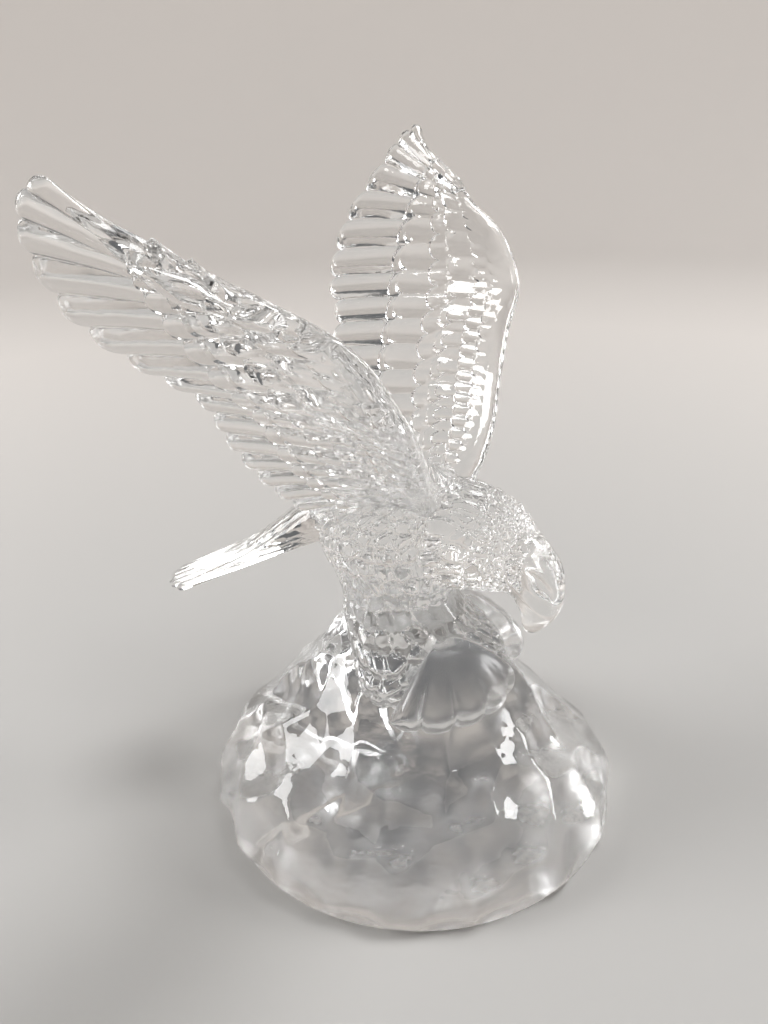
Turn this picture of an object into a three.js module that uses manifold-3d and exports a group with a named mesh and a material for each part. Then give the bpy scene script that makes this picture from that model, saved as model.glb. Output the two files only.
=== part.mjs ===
// Crystal eagle figurine: one piece of pressed clear glass.
// Frame: millimetres, +Z up, origin at the centre of the underside, the bird faces -Y.

import * as THREE from 'three';
import { mergeVertices } from 'three/addons/utils/BufferGeometryUtils.js';
import Module from 'manifold-3d';

const wasm = await Module();
wasm.setup();

// Profile of the rock from the foot up, as (z, radius)
const ROCK_PROFILE = [
  [0, 52],
  [4, 53.5],
  [9, 52.2],
  [15, 47.6],
  [22, 41],
  [30, 33.4],
  [38, 27],
  [47, 21],
  [57, 12],
];

// Rows and columns are the lattice of facet corners, in a number of threes round the rock
const ROCK = {
  lean: 3.6,
  rows: 9,
  columns: 36,
  scatter: 0.42,
  dish: 0.8,
  edge: 0.2,
};

// The arm of the wing runs from the neck to the wrist, as (outward, y, z)
const WING_ARM = [
  [5, -9, 84],
  [15, -12.5, 91],
  [26, -14, 98],
  [37, -14, 104.5],
  [49, -14.6, 114.8],
  [61, -15.2, 125],
  [67.2, -9, 137.8],
  [73.2, 0.6, 145],
  [80, 5, 148.2],
];

// The feather tips run from the rump out to the wing tip, as (outward, y, z)
const WING_TIPS = [
  [7, 22, 80],
  [16, 25.3, 88.5],
  [24, 29.2, 98.1],
  [33, 31, 109.4],
  [39.9, 31.8, 119.6],
  [44.5, 34.6, 124.6],
  [51.4, 36.6, 129.5],
  [60.4, 37.5, 135.7],
  [70, 36.6, 142.5],
  [79, 33.6, 149.4],
  [86.8, 30, 156],
  [91, 27, 160.8],
  [93.4, 23.6, 164.2],
  [93, 20.4, 165.4],
];

// Thicknesses, ridges and steps in millimetres, and places as shares of the feather length
const WING = {
  innerFeathers: 7,
  primaries: 9,
  cells: 3,
  armBias: 1.25,
  shoulderTwist: 2.6,
  shoulderEnd: 0.45,
  camber: 4.5,
  armSweep: 1.5,
  handSweep: 5,
  armThickness: 7.2,
  handThickness: 4.2,
  tipThickness: 2.5,
  leastHalf: 0.45,
  rimWidth: 0.13,
  rimRows: [0, 0.025, 0.075],
  ridge: 0.85,
  ridgeFrom: 0.1,
  ridgeFull: 0.3,
  scallop: 0.05,
  covertStep: 0.75,
  covertSlope: 0.025,
  tipSlope: 0.04,
  tipEdge: 0.35,
};

// Rows of coverts end at these shares of the feather length
const COVERT_ROWS = [0.2, 0.42, 0.66];

const TAIL = {
  feathers: 7,
  cells: 3,
  rows: 7,
  rootY: 15,
  rootZ: 82,
  length: 54,
  drop: 27.5,
  rootHalfWidth: 8.5,
  tipHalfWidth: 9.5,
  rootThickness: 8,
  tipThickness: 2.4,
  edgeShare: 0.45,
  leastHalf: 0.4,
  rump: 5.5,
  rumpFrom: 0.1,
  rumpEnd: 0.6,
  roof: 2,
  ridge: 0.7,
  ridgeFrom: 0.1,
  ridgeFull: 0.4,
  rounding: 0.16,
  scallop: 0.03,
  tipEdge: 0.4,
};

// Rings of the trunk and legs, as (z, middle y, half depth, half width)
const TRUNK = [
  [36, -2.5, 19.5, 15.5],
  [43, -3.2, 20, 15.5],
  [49, -1.8, 18.6, 14],
  [55, 1.8, 16.2, 13],
  [61, 3.9, 14.2, 13.4],
  [67, 5.2, 14.9, 14.4],
  [74, 6.8, 16.8, 15],
  [80, 6.2, 17.4, 14.6],
  [85.5, 3, 14.6, 12.4],
  [89.5, -1, 10.4, 9.6],
  [92, -4, 6, 6],
];

// Feather scales of the trunk stand out by their depth, above the lowest height
const SCALE = { sides: 26, rows: 19, depth: 0.75, lowest: 50, crown: 2.5 };

// Rings of the neck, head and beak, as (top y, top z, bottom y, bottom z, half width)
const HEAD = [
  [2, 88.5, 2, 60, 10.5],
  [-8, 90.8, -6, 62.8, 11.6],
  [-16.6, 89.4, -12, 63.4, 11.4],
  [-21, 87.5, -16, 63.6, 10.8],
  [-24.6, 85.2, -19, 63.7, 9.9],
  [-27.7, 82, -21.8, 63.6, 8.8],
  [-30.6, 78.4, -23.4, 62.9, 7.6],
  [-33.6, 74.9, -24.6, 61.9, 6.6],
  [-35.9, 71.4, -25.4, 60.6, 5.8],
  [-37, 67.6, -26, 59.3, 5.2],
  [-37.2, 63.4, -26.6, 57.9, 4.7],
  [-36.8, 60, -27.1, 56, 4.2],
  [-35.5, 57, -27.3, 54.3, 3.7],
  [-33.5, 54.4, -27.6, 53, 2.9],
  [-31.4, 52.5, -28.6, 52.1, 1.7],
];

// Neck feathers lie behind lobesFrom, and the tip of the beak drops below its last ring
const HEAD_SHAPE = { sides: 20, lobes: 0.5, lobesFrom: -20, tipDrop: 0.7 };

// Relief on each side of the head, as (y, z, reach along y, reach along z, height)
const HEAD_RELIEF = [
  [-24, 84, 6, 1.8, 0.9],
  [-26, 79, 5, 2.4, -1],
  [-28, 75.4, 6, 1.1, 0.4],
  [-30.5, 67, 4, 6, -1.1],
];

const EYE = { y: -18.7, z: 81.6, out: 9, radius: 1.9, columns: 10, rows: 7 };

// Toes fan out of each ankle over the rock, as (outward, y, z) of the claw ends
const ANKLE = [10, -9, 49];
const TOE_ENDS = [
  [5, -23, 40.5],
  [12.5, -22.5, 38],
  [19.5, -18, 37],
  [24.5, -12.5, 36],
  [26, -5, 37],
];
const TOE = {
  rootRadius: 6,
  midRadius: 6,
  endRadius: 4.4,
  flatness: 0.7,
  arch: 3,
  sides: 8,
  steps: 4,
  bluntness: 0.6,
};

// The thumb feather lies along the hand from the wrist, as (outward, y, z)
const THUMB = {
  start: [74.5, 4, 144],
  end: [85, 15.5, 153.6],
  radius: 2.4,
  endRadius: 1.5,
  flatness: 0.8,
};

// Points closer than this are one point, and slopes are measured over a share of a curve
const MERGE = 1e-4;
const SLOPE_STEP = 0.01;

const up = new THREE.Vector3(0, 0, 1);

function mix(a, b, t) {
  return a + (b - a) * t;
}

function smoothstep(a, b, x) {
  const t = THREE.MathUtils.clamp((x - a) / (b - a), 0, 1);
  return t * t * (3 - 2 * t);
}

// A steady pseudo-random number from 0 to 1 for whole numbers i and j
function scatter(i, j) {
  const s = Math.sin(i * 127.1 + j * 311.7) * 43758.5453;
  return s - Math.floor(s);
}

// A closed manifold solid from a three.js geometry
function solidOf(geometry) {
  const bare = geometry.clone();
  bare.deleteAttribute('normal');
  bare.deleteAttribute('uv');
  const merged = mergeVertices(bare, MERGE);
  const index = merged.index.array;
  const kept = [];
  for (let i = 0; i < index.length; i += 3) {
    const [a, b, c] = [index[i], index[i + 1], index[i + 2]];
    if (a !== b && b !== c && c !== a) {
      kept.push(a, b, c);
    }
  }
  return new wasm.Manifold(new wasm.Mesh({
    numProp: 3,
    vertProperties: new Float32Array(merged.attributes.position.array),
    triVerts: new Uint32Array(kept),
  }));
}

// A geometry from a list of points and a list of corner triples
function geometryOf(points, faces) {
  const geometry = new THREE.BufferGeometry();
  const flat = new Float32Array(points.length * 3);
  points.forEach((p, i) => p.toArray(flat, i * 3));
  geometry.setAttribute('position', new THREE.BufferAttribute(flat, 3));
  geometry.setIndex(faces);
  return geometry;
}

// Faces pointing out, whichever way round the grid was walked
function outward(solid, points, faces) {
  if (solid.volume() > 0) {
    return solid;
  }
  const turned = [];
  for (let i = 0; i < faces.length; i += 3) {
    turned.push(faces[i], faces[i + 2], faces[i + 1]);
  }
  return solidOf(geometryOf(points, turned));
}

// A closed sheet: two skins on one grid, joined by walls along the four edges
function sheetSolid(columns, rows, place) {
  const points = [];
  const faces = [];
  const skin = (columns + 1) * (rows + 1);
  const at = (i, j, side) => side * skin + i * (rows + 1) + j;
  for (let side = 0; side < 2; side += 1) {
    for (let i = 0; i <= columns; i += 1) {
      for (let j = 0; j <= rows; j += 1) {
        points.push(place(i, j, side));
      }
    }
  }
  const quad = (a, b, c, d) => faces.push(a, b, c, a, c, d);
  for (let i = 0; i < columns; i += 1) {
    for (let j = 0; j < rows; j += 1) {
      quad(at(i, j, 0), at(i + 1, j, 0), at(i + 1, j + 1, 0), at(i, j + 1, 0));
      quad(at(i, j, 1), at(i, j + 1, 1), at(i + 1, j + 1, 1), at(i + 1, j, 1));
    }
    quad(at(i, 0, 0), at(i, 0, 1), at(i + 1, 0, 1), at(i + 1, 0, 0));
    quad(at(i, rows, 0), at(i + 1, rows, 0), at(i + 1, rows, 1), at(i, rows, 1));
  }
  for (let j = 0; j < rows; j += 1) {
    quad(at(0, j, 0), at(0, j + 1, 0), at(0, j + 1, 1), at(0, j, 1));
    quad(at(columns, j, 0), at(columns, j, 1), at(columns, j + 1, 1), at(columns, j + 1, 0));
  }
  return outward(solidOf(geometryOf(points, faces)), points, faces);
}

// A closed loft through rings of equal count, with a point closing each end. Staggered
// rings are turned by half a step each, so their cells are split along the short way.
function loftSolid(rings, start, end, staggered = false) {
  const sides = rings[0].length;
  const points = [start, ...rings.flat(), end];
  const faces = [];
  const at = (r, s) => 1 + r * sides + (s % sides);
  for (let s = 0; s < sides; s += 1) {
    faces.push(0, at(0, s + 1), at(0, s));
    for (let r = 0; r + 1 < rings.length; r += 1) {
      if (staggered && r % 2 === 0) {
        faces.push(at(r, s), at(r, s + 1), at(r + 1, s));
        faces.push(at(r, s + 1), at(r + 1, s + 1), at(r + 1, s));
      } else {
        faces.push(at(r, s), at(r, s + 1), at(r + 1, s + 1));
        faces.push(at(r, s), at(r + 1, s + 1), at(r + 1, s));
      }
    }
    faces.push(points.length - 1, at(rings.length - 1, s), at(rings.length - 1, s + 1));
  }
  return outward(solidOf(geometryOf(points, faces)), points, faces);
}

// Values of a table of rows at a share t of its length, on a smooth curve
function tableAt(table, t) {
  const place = t * (table.length - 1);
  const i = Math.min(Math.floor(place), table.length - 2);
  const f = place - i;
  const row = (k) => table[THREE.MathUtils.clamp(k, 0, table.length - 1)];
  return table[0].map((_, c) => {
    const [p, a, b, n] = [row(i - 1)[c], row(i)[c], row(i + 1)[c], row(i + 2)[c]];
    const [ma, mb] = [(b - p) / 2, (n - a) / 2];
    const [f2, f3] = [f * f, f * f * f];
    return (2 * f3 - 3 * f2 + 1) * a + (f3 - 2 * f2 + f) * ma
      + (3 * f2 - 2 * f3) * b + (f3 - f2) * mb;
  });
}

// The rock: a ring lattice whose cells are pressed in and whose cell edges stand out
function rockSolid() {
  const top = ROCK_PROFILE.at(-1)[0];
  const rings = [];
  for (let r = 0; r <= ROCK.rows; r += 1) {
    const ring = [];
    for (let k = 0; k < ROCK.columns; k += 1) {
      const fixed = r === 0 || r === ROCK.rows;
      const loose = fixed ? 0 : ROCK.scatter;
      const share = (r + loose * (scatter(k, r + 20) - 0.5)) / ROCK.rows;
      const [z, radius] = tableAt(ROCK_PROFILE, share);
      const turn = 2 * Math.PI * (k + (r % 2) / 2 + loose * (scatter(r, k) - 0.5)) / ROCK.columns;
      const pressed = (k - Math.floor(r / 2) - r + 3 * ROCK.rows) % 3 === 0;
      const depth = pressed ? ROCK.dish * (0.5 + scatter(r + 7, k + 3)) : -ROCK.edge;
      const out = radius - (fixed ? 0 : depth);
      const lean = ROCK.lean * Math.sin(Math.PI * z / top);
      ring.push(new THREE.Vector3(out * Math.cos(turn), out * Math.sin(turn) + lean, z));
    }
    rings.push(ring);
  }
  return loftSolid(rings, new THREE.Vector3(0, 0, 0), new THREE.Vector3(0, 0, top), true);
}

// Trunk and legs: stacked oval rings with staggered feather scales pressed into them
function trunkSolid() {
  const rings = [];
  for (let r = 0; r < SCALE.rows; r += 1) {
    const [z, y, depth, width] = tableAt(TRUNK, r / (SCALE.rows - 1));
    const ring = [];
    for (let s = 0; s < SCALE.sides; s += 1) {
      const turn = 2 * Math.PI * s / SCALE.sides;
      const bump = r % 2 === 0 && (s + r / 2) % 2 === 0 && z > SCALE.lowest;
      const raised = bump ? SCALE.depth : 0;
      ring.push(new THREE.Vector3(
        (width + raised) * Math.cos(turn),
        y + (depth + raised) * Math.sin(turn),
        z,
      ));
    }
    rings.push(ring);
  }
  const [lowZ, lowY] = TRUNK[0];
  const [topZ, topY] = TRUNK[TRUNK.length - 1];
  const low = new THREE.Vector3(0, lowY, lowZ);
  const high = new THREE.Vector3(0, topY, topZ + SCALE.crown);
  return loftSolid(rings, low, high);
}

// Height of the brow, eye socket and beak panel at a place on the side of the head
function headRelief(y, z) {
  return HEAD_RELIEF.reduce((sum, [cy, cz, ry, rz, height]) => {
    const far = ((y - cy) / ry) ** 2 + ((z - cz) / rz) ** 2;
    return sum + height * Math.exp(-far);
  }, 0);
}

// Head: rings between the crown line and the throat line, closing at the hooked tip
function headSolid() {
  const count = 2 * HEAD.length - 1;
  const rings = [];
  for (let r = 0; r < count; r += 1) {
    const [topY, topZ, lowY, lowZ, width] = tableAt(HEAD, r / (count - 1));
    const ring = [];
    for (let s = 0; s < HEAD_SHAPE.sides; s += 1) {
      const turn = 2 * Math.PI * s / HEAD_SHAPE.sides;
      const along = (1 + Math.cos(turn)) / 2;
      const y = mix(lowY, topY, along);
      const z = mix(lowZ, topZ, along);
      const lobes = y > HEAD_SHAPE.lobesFrom ? HEAD_SHAPE.lobes * Math.cos(Math.PI * (r + s)) : 0;
      const out = (width + headRelief(y, z) + lobes) * Math.sin(turn);
      ring.push(new THREE.Vector3(out, y, z));
    }
    rings.push(ring);
  }
  const [nearY, nearZ, lowNearY, lowNearZ] = HEAD[0];
  const [endY, endZ, lowEndY, lowEndZ] = HEAD[HEAD.length - 1];
  const start = new THREE.Vector3(0, (nearY + lowNearY) / 2, (nearZ + lowNearZ) / 2);
  const endMiddle = (endZ + lowEndZ) / 2;
  const end = new THREE.Vector3(0, (endY + lowEndY) / 2, endMiddle - HEAD_SHAPE.tipDrop);
  return loftSolid(rings, start, end);
}

function sidePoint([out, y, z], side) {
  return new THREE.Vector3(side * out, y, z);
}

// A smooth curve through named places on one side of the bird
function sideCurve(places, side) {
  const points = places.map((place) => sidePoint(place, side));
  return new THREE.CatmullRomCurve3(points, false, 'centripetal');
}

// Share of the tip curve at feather number n: one curve point for each primary feather
function tipShare(n) {
  const first = WING.innerFeathers + 0.5;
  const innerPoints = WING_TIPS.length - WING.primaries - 1;
  const index = n < first
    ? n * innerPoints / first
    : innerPoints + (n - first) * (WING.primaries / (WING.primaries - 0.5));
  return Math.min(index / (WING_TIPS.length - 1), 1);
}

// Middle surface of a wing: each feather bends from the arm at s = 0 to its tip at s = 1
function wingSurface(side) {
  const arm = sideCurve(WING_ARM, side);
  const tips = sideCurve(WING_TIPS, side);
  const lift = new THREE.Vector3(-0.61 * side, -0.1, 0.79);
  const trail = new THREE.Vector3(0, 1, 0.3);
  return (u, s) => {
    const base = arm.getPoint(1 - (1 - u) ** WING.armBias);
    base.y -= side * WING.shoulderTwist * (1 - smoothstep(0, WING.shoulderEnd, u));
    const tip = tips.getPoint(tipShare(u * (WING.innerFeathers + WING.primaries)));
    const bow = base.clone().add(tip).multiplyScalar(0.5);
    bow.addScaledVector(lift, WING.camber * (1 - u));
    bow.addScaledVector(trail, mix(WING.armSweep, WING.handSweep, u * u));
    return base.multiplyScalar((1 - s) ** 2)
      .addScaledVector(bow, 2 * s * (1 - s))
      .addScaledVector(tip, s * s);
  };
}

// A wing: a thick glass blade with a ridge for each feather and three steps of coverts
function wingSolid(side) {
  const surface = wingSurface(side);
  const columns = (WING.innerFeathers + WING.primaries) * WING.cells;
  const rowEnds = [...COVERT_ROWS, 1];
  const stops = WING.rimRows.map((s) => ({ s, row: 0 }));
  rowEnds.forEach((end, row) => {
    const last = row === rowEnds.length - 1;
    stops.push({ s: end - (last ? WING.tipSlope : WING.covertSlope), row });
    stops.push({ s: end, row: last ? row : row + 1 });
  });
  const place = (i, j, face) => {
    const { s: nominal, row } = stops[j];
    const inGroove = i % WING.cells === 0;
    const open = smoothstep(WING.ridgeFrom, WING.ridgeFull, nominal);
    const s = nominal - (inGroove ? WING.scallop * open : 0);
    const u = i / columns;
    const here = surface(u, s);
    const [lowU, highU] = [Math.max(u - SLOPE_STEP, 0), Math.min(u + SLOPE_STEP, 1)];
    const [lowS, highS] = [Math.max(s - SLOPE_STEP, 0), Math.min(s + SLOPE_STEP, 1)];
    const alongU = surface(highU, s).sub(surface(lowU, s));
    const alongS = surface(u, highS).sub(surface(u, lowS));
    const normal = alongU.cross(alongS).normalize();
    const root = mix(WING.armThickness, WING.handThickness, u) / 2;
    const body = mix(root, WING.tipThickness / 2, Math.sqrt(s));
    const shoulder = Math.sqrt(1 - (1 - Math.min(s / WING.rimWidth, 1)) ** 2);
    const outerEdge = i === columns ? 0 : 1;
    const rib = inGroove ? -WING.ridge * open : 0;
    const shelf = WING.covertStep * (rowEnds.length - 1 - row) / (rowEnds.length - 1);
    const bare = Math.max(body + rib + shelf * open, WING.leastHalf);
    const end = nominal === 1 ? WING.tipEdge : 1;
    const half = bare * shoulder * outerEdge * end;
    return here.addScaledVector(normal, face === 0 ? half : -half);
  };
  return sheetSolid(columns, stops.length - 1, place);
}

// The tail: a narrow fan of long feathers, roofed along its middle
function tailSolid() {
  const columns = TAIL.feathers * TAIL.cells;
  const place = (i, j, face) => {
    const across = 2 * i / columns - 1;
    const inGroove = i % TAIL.cells === 0;
    const reach = 1 - TAIL.rounding * across ** 2 - (inGroove ? TAIL.scallop : 0);
    const s = j * reach / TAIL.rows;
    const halfWidth = mix(TAIL.rootHalfWidth, TAIL.tipHalfWidth, s);
    const middle = new THREE.Vector3(
      across * halfWidth,
      TAIL.rootY + TAIL.length * s,
      TAIL.rootZ - TAIL.drop * s - TAIL.roof * across ** 2,
    );
    const edge = Math.sqrt(Math.max(1 - across ** 2, 0));
    const thick = mix(TAIL.rootThickness, TAIL.tipThickness, Math.sqrt(s)) / 2;
    const rib = inGroove ? TAIL.ridge * smoothstep(TAIL.ridgeFrom, TAIL.ridgeFull, s) : 0;
    const end = j === TAIL.rows ? TAIL.tipEdge : 1;
    const half = Math.max(thick * mix(TAIL.edgeShare, 1, edge) - rib, TAIL.leastHalf) * end;
    const rump = TAIL.rump * edge * (1 - smoothstep(TAIL.rumpFrom, TAIL.rumpEnd, s));
    return middle.addScaledVector(up, face === 0 ? half + rump : -half);
  };
  return sheetSolid(columns, TAIL.rows, place);
}

// A tapering finger of glass, arched over the way from its start to its end
function fingerSolid(start, end, radii, flatness, arch) {
  const crown = start.clone().add(end).multiplyScalar(0.5).addScaledVector(up, arch);
  const curve = new THREE.QuadraticBezierCurve3(start, crown, end);
  const [rootRadius, midRadius, endRadius] = radii;
  const rings = [];
  for (let r = 0; r <= TOE.steps; r += 1) {
    const t = r / TOE.steps;
    const centre = curve.getPoint(t);
    const along = curve.getTangent(t);
    const across = along.clone().cross(up).normalize();
    const rise = across.clone().cross(along).normalize();
    const radius = t < 0.5 ? mix(rootRadius, midRadius, 2 * t) : mix(midRadius, endRadius, 2 * t - 1);
    const ring = [];
    for (let s = 0; s < TOE.sides; s += 1) {
      const turn = 2 * Math.PI * s / TOE.sides;
      ring.push(centre.clone()
        .addScaledVector(across, radius * Math.cos(turn))
        .addScaledVector(rise, radius * flatness * Math.sin(turn)));
    }
    rings.push(ring);
  }
  const tip = end.clone().addScaledVector(curve.getTangent(1), endRadius * TOE.bluntness);
  return loftSolid(rings, start, tip);
}

function toeSolid(side, claw) {
  const radii = [TOE.rootRadius, TOE.midRadius, TOE.endRadius];
  const [start, end] = [sidePoint(ANKLE, side), sidePoint(claw, side)];
  return fingerSolid(start, end, radii, TOE.flatness, TOE.arch);
}

function thumbSolid(side) {
  const radii = [THUMB.radius, THUMB.radius, THUMB.endRadius];
  const [start, end] = [sidePoint(THUMB.start, side), sidePoint(THUMB.end, side)];
  return fingerSolid(start, end, radii, THUMB.flatness, 0);
}

function eyeSolid(side) {
  const ball = new THREE.SphereGeometry(EYE.radius, EYE.columns, EYE.rows);
  ball.translate(side * EYE.out, EYE.y, EYE.z);
  return solidOf(ball);
}

// All parts of the glass are one casting, so they are joined into one solid
function eagleSolid() {
  let glass = rockSolid().add(trunkSolid()).add(headSolid()).add(tailSolid());
  for (const side of [-1, 1]) {
    glass = glass.add(wingSolid(side)).add(thumbSolid(side)).add(eyeSolid(side));
    for (const end of TOE_ENDS) {
      glass = glass.add(toeSolid(side, end));
    }
  }
  return glass;
}

function meshOf(solid, name, material) {
  const { vertProperties, triVerts } = solid.getMesh();
  const geometry = new THREE.BufferGeometry();
  geometry.setAttribute('position', new THREE.BufferAttribute(vertProperties, 3));
  geometry.setIndex(new THREE.BufferAttribute(triVerts, 1));
  geometry.computeVertexNormals();
  const mesh = new THREE.Mesh(geometry, material);
  mesh.name = name;
  return mesh;
}

const crystal = new THREE.MeshStandardMaterial({
  color: 0xdcdad4,
  roughness: 0.08,
  metalness: 0,
  transparent: true,
  opacity: 0.5,
});

const figurine = new THREE.Group();
figurine.add(meshOf(eagleSolid(), 'eagle_figurine', crystal));

export default figurine;
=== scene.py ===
"""Crystal eagle figurine: its pressed glass surface, its finish and a plain studio.

Shapes are worked out in millimetres in the row's frame and put into metres as each mesh is made.
The bird faces -Y, its right wing is on -X, and the rock stands on z = 0.
"""

import logging
import math
from dataclasses import dataclass, field
from enum import Enum

import bmesh
import bpy
import numpy as np
from mathutils import Matrix, Vector


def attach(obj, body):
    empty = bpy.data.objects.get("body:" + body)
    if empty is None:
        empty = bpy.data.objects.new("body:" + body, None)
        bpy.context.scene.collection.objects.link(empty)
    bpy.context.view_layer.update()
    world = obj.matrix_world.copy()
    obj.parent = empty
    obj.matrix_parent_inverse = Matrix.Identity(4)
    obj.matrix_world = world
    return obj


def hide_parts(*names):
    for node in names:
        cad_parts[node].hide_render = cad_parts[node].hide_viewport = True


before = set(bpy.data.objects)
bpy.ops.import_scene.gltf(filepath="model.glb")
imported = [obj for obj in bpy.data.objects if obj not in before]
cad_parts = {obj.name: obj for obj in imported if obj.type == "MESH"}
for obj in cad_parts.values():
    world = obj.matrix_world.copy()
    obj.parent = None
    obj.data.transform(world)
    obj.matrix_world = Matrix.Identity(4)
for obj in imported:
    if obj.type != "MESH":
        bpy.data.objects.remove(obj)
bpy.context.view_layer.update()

log = logging.getLogger("crystal_eagle")

MM = 0.001
NODE = "eagle_figurine"
Array = np.ndarray
Table = tuple[tuple[float, ...], ...]
Pair = tuple[float, float]
Triple = Place = tuple[float, float, float]
Tint = tuple[float, float, float, float]
Form = tuple[float, float, float, float, float]
Inputs = dict[str | int, object]


class Side(Enum):
    """The two sides of the bird, as the sign of X."""

    RIGHT = -1
    LEFT = 1

    def place(self, points: Table | Place) -> Array:
        """Bring places that are given for the left over to this side."""
        return np.array(points, float) * [self.value, 1.0, 1.0]


def mix(start: Array | float, end: Array | float, share: Array | float) -> Array | float:
    """Go from start to end in a straight line: start + (end - start) * share."""
    return start + (end - start) * share


def smoothstep(low: float, high: float, value: Array) -> Array:
    """Rise softly from 0 at low to 1 at high: 3 t^2 - 2 t^3 of the clipped share t."""
    t = np.clip((value - low) / (high - low), 0.0, 1.0)
    return t * t * (3.0 - 2.0 * t)


def hump(value: Array, middle: float, reach: float) -> Array:
    """A bell of height 1 at middle that fades over reach: exp(-((value - middle) / reach)^2)."""
    return np.exp(-(((value - middle) / reach) ** 2))


def quarter(value: Array) -> Array:
    """Round an edge off as a quarter circle, up to a value of 1: sqrt(1 - (1 - value)^2)."""
    return np.sqrt(1 - (1 - np.minimum(value, 1)) ** 2)


def arc(x: Array) -> Array:
    """How far a round end has fallen back at x across it: 1 - sqrt(1 - x^2)."""
    return 1 - np.sqrt(np.maximum(1 - x * x, 0.0))


def parabola(start: Array, middle: Array, end: Array, t: Array) -> Array:
    """Bend from start by way of middle to end: (1 - t)^2 start + 2 t (1 - t) middle + t^2 end."""
    return start * (1 - t) ** 2 + middle * 2 * t * (1 - t) + end * t**2


def ring_grid(levels: Array, sides: int) -> tuple[Array, Array]:
    """Pair each level with turns evenly round a circle, both as (level, place round it)."""
    turn = np.linspace(0, 2 * np.pi, sides, endpoint=False)
    return np.broadcast_arrays(levels[:, None], turn[None, :])


def scatter(first: Array, second: Array) -> Array:
    """Steady pseudo-random numbers from 0 to 1: the fraction of 43758.5453 sin(127.1 i + 311.7 j)."""
    wave = np.sin(first * 127.1 + second * 311.7) * 43758.5453
    return wave - np.floor(wave)


def table_at(table: Table, share: Array) -> Array:
    """Read rows of a table at shares of its length, on a smooth curve.

    Between two rows the value is the cubic that meets both, with slopes of half the step
    between the rows on either side.

    Args:
        table: rows of numbers.
        share: places along the table, from 0 to 1.

    Returns:
        An array with the shape of share and a last axis for the columns of the table.
    """
    rows = np.asarray(table, float)
    last = len(rows) - 1
    place = np.asarray(share, float) * last
    index = np.minimum(np.floor(place).astype(int), last - 1)
    f = (place - index)[..., None]
    before = rows[np.maximum(index - 1, 0)]
    start = rows[index]
    end = rows[index + 1]
    after = rows[np.minimum(index + 2, last)]
    rise = (2 * f**3 - 3 * f**2 + 1) * start + (3 * f**2 - 2 * f**3) * end
    return rise + (f**3 - 2 * f**2 + f) * (end - before) / 2 + (f**3 - f**2) * (after - start) / 2


def curve_at(points: Array, share: Array) -> Array:
    """Follow a centripetal curve through points.

    Each span is a cubic whose end slopes weigh the chords beside it by the square root of their
    length, so that the curve bends evenly where points lie close together.

    Args:
        points: places that the curve passes, one a row.
        share: places along the curve, from 0 to 1.

    Returns:
        An array with the shape of share and a last axis for X, Y and Z.
    """
    last = len(points) - 1
    padded = np.vstack([2 * points[:1] - points[1:2], points, 2 * points[-1:] - points[-2:-1]])
    place = np.asarray(share, float) * last
    index = np.minimum(np.floor(place).astype(int), last - 1)
    f = (place - index)[..., None]
    p0, p1, p2, p3 = (padded[index + step] for step in range(4))
    d0, d1, d2 = (
        np.linalg.norm(b - a, axis=-1, keepdims=True) ** 0.5 for a, b in ((p0, p1), (p1, p2), (p2, p3))
    )
    out = d1 * ((p1 - p0) / d0 - (p2 - p0) / (d0 + d1) + (p2 - p1) / d1)
    into = d1 * ((p2 - p1) / d1 - (p3 - p1) / (d1 + d2) + (p3 - p2) / d2)
    return p1 + out * f + (3 * (p2 - p1) - 2 * out - into) * f**2 + (2 * (p1 - p2) + out + into) * f**3


def unit(vectors: Array) -> Array:
    """Scale vectors along the last axis to length 1."""
    return vectors / np.maximum(np.linalg.norm(vectors, axis=-1, keepdims=True), 1e-9)


def ring_normals(rings: Array) -> Array:
    """Outward normals of a grid of closed rings: the cross product of its two slopes.

    Args:
        rings: points as (ring, place round it, X Y Z).

    Returns:
        Unit normals in the same layout.
    """
    round_slope = np.roll(rings, -1, axis=1) - np.roll(rings, 1, axis=1)
    normals = unit(np.cross(round_slope, np.gradient(rings, axis=0)))
    outward = rings - rings.mean(axis=1, keepdims=True)
    return normals * np.sign((normals * outward).sum())


def raised(rings: Array, height: Array) -> Array:
    """Move a grid of rings out along its normals, by a height at each point."""
    return rings + ring_normals(rings) * height[..., None]


def scales(along: Array, across: Array, count: int, unevenness: float = 0.45) -> Array:
    """Height of small overlapping feathers, as uneven cells with a crease between them.

    Middles stand one unit apart, with every other row moved half a unit, and each is scattered
    off its place. With F1 and F2 the distances to the nearest two, the height is a step of
    F2 - F1 for the crease, a dome 1 - F1^2 and a slope that rises towards the tip.

    Args:
        along: coordinate counted in rows, rising towards the feathers' tips.
        across: coordinate counted in feathers.
        count: feathers in a full turn, after which the pattern repeats.
        unevenness: how far the middles are scattered.

    Returns:
        Heights from about 0 in the creases to 1 on the domes.
    """
    row = np.floor(along)
    first = np.full_like(along, 9.0)
    second = first.copy()
    slope = np.zeros_like(along)
    for step in (-1, 0, 1):
        here = row + step
        offset = 0.5 * np.mod(here, 2)
        for shift in (-1, 0, 1):
            column = np.round(across - offset) + shift
            key = np.mod(column, count)
            aside = column + offset + unevenness * (scatter(key, here) - 0.5)
            ahead = here + 0.5 + unevenness * (scatter(here + 17.0, key) - 0.5)
            distance = np.hypot(across - aside, along - ahead)
            nearer = distance < first
            second = np.where(nearer, first, np.minimum(second, distance))
            slope = np.where(nearer, along - ahead, slope)
            first = np.minimum(first, distance)
    return 0.5 * smoothstep(0.0, 0.3, second - first) + 0.45 * (1 - first**2) + 0.3 * slope


def feather_coat(share: Array, turn: Array, rows: float, count: int) -> Array:
    """Small feathers that hang down a form in rows, a count of them in each ring."""
    return scales((1 - share) * rows, turn / (2 * np.pi) * count, count)


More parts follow.
